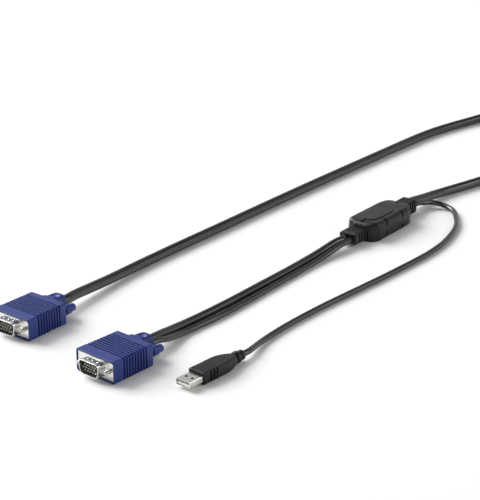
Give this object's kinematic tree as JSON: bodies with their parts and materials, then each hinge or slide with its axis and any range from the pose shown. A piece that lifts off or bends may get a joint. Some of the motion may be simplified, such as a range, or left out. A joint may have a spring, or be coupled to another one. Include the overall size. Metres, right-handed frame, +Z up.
{
  "type": "kvm cable",
  "caption": "Video and USB console cable: two blue 15-pin video plugs with thumb screws, a black joint housing, a USB plug and a coil of spare cord, laid on a desk.",
  "frame": {"origin": "on the desk, at the centre of the rigid pieces' footprint: both video plugs, the USB plug and the joint housing, without the cords", "axes": "+X runs from the video plugs' faces back towards the joint housing, +Y points from the single video plug to the console plug, +Z is up"},
  "size_m": [0.6997, 0.1965, 0.0163],
  "materials": {
    "blue_moulding": "satin blue moulded plastic",
    "bright_nickel": "bright nickel plate",
    "screw_steel": "turned steel",
    "contact_plating": "plated contact",
    "black_insulator": "matt black plastic",
    "black_moulding": "satin black moulded plastic",
    "pale_tongue": "pale plastic",
    "cord_jacket": "smooth black jacket with a soft gloss",
    "tie_plastic": "matt black plastic"
  },
  "bodies": {
    "cable": {"video_hood": "blue_moulding", "video_front_shell": "bright_nickel", "video_insulator": "black_insulator", "video_pin_01": "contact_plating", "video_pin_02": "contact_plating", "video_pin_03": "contact_plating", "video_pin_04": "contact_plating", "video_pin_05": "contact_plating", "video_pin_06": "contact_plating", "video_pin_07": "contact_plating", "video_pin_08": "contact_plating", "video_pin_09": "contact_plating", "video_pin_10": "contact_plating", "video_pin_11": "contact_plating", "video_pin_12": "contact_plating", "video_pin_13": "contact_plating", "video_pin_14": "contact_plating", "video_pin_15": "contact_plating", "console_hood": "blue_moulding", "console_front_shell": "bright_nickel", "console_insulator": "black_insulator", "console_pin_01": "contact_plating", "console_pin_02": "contact_plating", "console_pin_03": "contact_plating", "console_pin_04": "contact_plating", "console_pin_05": "contact_plating", "console_pin_06": "contact_plating", "console_pin_07": "contact_plating", "console_pin_08": "contact_plating", "console_pin_09": "contact_plating", "console_pin_10": "contact_plating", "console_pin_11": "contact_plating", "console_pin_12": "contact_plating", "console_pin_13": "contact_plating", "console_pin_14": "contact_plating", "console_pin_15": "contact_plating", "usb_grip": "black_moulding", "usb_shell": "bright_nickel", "usb_tongue": "pale_tongue", "usb_contact_1": "contact_plating", "usb_contact_2": "contact_plating", "usb_contact_3": "contact_plating", "usb_contact_4": "contact_plating", "joint_housing": "black_moulding", "console_cord_out": "cord_jacket", "console_cord_coil": "cord_jacket", "console_cord_return": "cord_jacket", "video_cord": "cord_jacket", "link_cord": "cord_jacket", "usb_cord": "cord_jacket", "coil_tie": "tie_plastic"},
    "video_left_jackscrew": {"video_screw_left": "screw_steel", "video_knob_left": "blue_moulding"},
    "video_right_jackscrew": {"video_screw_right": "screw_steel", "video_knob_right": "blue_moulding"},
    "console_left_jackscrew": {"console_screw_left": "screw_steel", "console_knob_left": "blue_moulding"},
    "console_right_jackscrew": {"console_screw_right": "screw_steel", "console_knob_right": "blue_moulding"}
  },
  "joints": [
    {"name": "video_left_jackscrew_turn", "type": "hinge", "parent": "cable", "child": "video_left_jackscrew", "pos_m": [-0.14696, -0.01124, 0.00815], "axis": [1, 0, 0], "continuous": true},
    {"name": "video_right_jackscrew_turn", "type": "hinge", "parent": "cable", "child": "video_right_jackscrew", "pos_m": [-0.14696, -0.03623, 0.00815], "axis": [1, 0, 0], "continuous": true},
    {"name": "console_left_jackscrew_turn", "type": "hinge", "parent": "cable", "child": "console_left_jackscrew", "pos_m": [-0.14053, 0.08205, 0.00815], "axis": [0.9984, 0.0558, 0], "continuous": true},
    {"name": "console_right_jackscrew_turn", "type": "hinge", "parent": "cable", "child": "console_right_jackscrew", "pos_m": [-0.13913, 0.05709, 0.00815], "axis": [0.9984, 0.0558, 0], "continuous": true}
  ]
}
